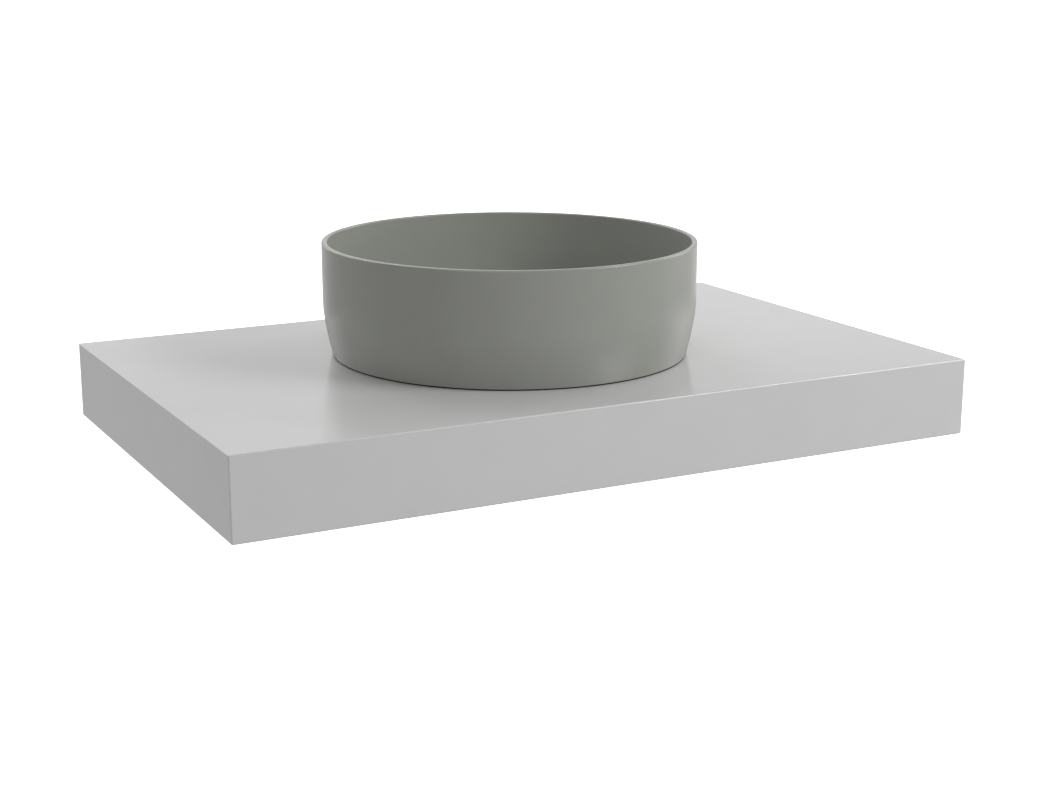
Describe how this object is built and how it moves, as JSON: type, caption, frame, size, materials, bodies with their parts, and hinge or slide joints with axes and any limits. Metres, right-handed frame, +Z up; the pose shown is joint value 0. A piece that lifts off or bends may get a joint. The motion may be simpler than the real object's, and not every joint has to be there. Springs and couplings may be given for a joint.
{
  "type": "vessel sink on console",
  "caption": "Round thin-rimmed countertop basin with a push-to-close waste, on a thick wall-hung console slab carried by concealed brackets.",
  "frame": {"origin": "middle of the console's back face, where it meets the wall", "axes": "+X to the right as seen from the front, +Y towards the wall, +Z up"},
  "size_m": [0.8, 0.5, 0.205],
  "materials": {
    "console_lacquer": "satin",
    "raw_board": "matte",
    "basin_glaze": "matte",
    "bracket_steel": "matte",
    "zinc_steel": "satin",
    "waste_chrome": "polished",
    "nut_brass": "satin",
    "spring_steel": "satin",
    "black_rubber": "matte",
    "grey_foam": "matte",
    "black_plastic": "matte"
  },
  "bodies": {
    "console": {"top_panel": "console_lacquer", "front_fascia": "console_lacquer", "left_end_panel": "console_lacquer", "right_end_panel": "console_lacquer", "bottom_panel": "console_lacquer", "rear_rail_left": "raw_board", "rear_rail_centre": "raw_board", "rear_rail_right": "raw_board", "left_outer_rib": "raw_board", "left_inner_rib": "raw_board", "right_inner_rib": "raw_board", "right_outer_rib": "raw_board", "corner_block_left": "raw_board", "corner_block_right": "raw_board", "cover_screw_1": "zinc_steel", "cover_screw_2": "zinc_steel", "cover_screw_3": "zinc_steel", "cover_screw_4": "zinc_steel", "cover_screw_5": "zinc_steel", "cover_screw_6": "zinc_steel", "cover_screw_7": "zinc_steel", "cover_screw_8": "zinc_steel", "wall_bracket_left": "bracket_steel", "wall_bracket_right": "bracket_steel", "arm_pad_left": "black_rubber", "arm_pad_right": "black_rubber", "arm_end_cap_left": "black_plastic", "arm_end_cap_right": "black_plastic", "arm_screw_left_1": "zinc_steel", "arm_screw_left_2": "zinc_steel", "arm_screw_right_1": "zinc_steel", "arm_screw_right_2": "zinc_steel", "basin": "basin_glaze", "foot_seal": "black_rubber", "boss_gasket": "grey_foam", "waste_body": "waste_chrome", "flange_gasket": "black_rubber", "lower_gasket": "black_rubber", "friction_washer": "black_plastic", "back_nut": "nut_brass", "cap_cartridge": "black_plastic", "cap_spring": "spring_steel"},
    "drain_plug": {"drain_cap": "waste_chrome", "cap_seal": "black_rubber", "plunger": "zinc_steel"}
  },
  "joints": [
    {"name": "cap_slide", "type": "slide", "parent": "console", "child": "drain_plug", "axis": [0, 0, 1], "range_m": [-0.009, 0], "stiffness_N_per_m": 600, "springref_m": 0.006, "deforming": ["cap_spring"]}
  ]
}
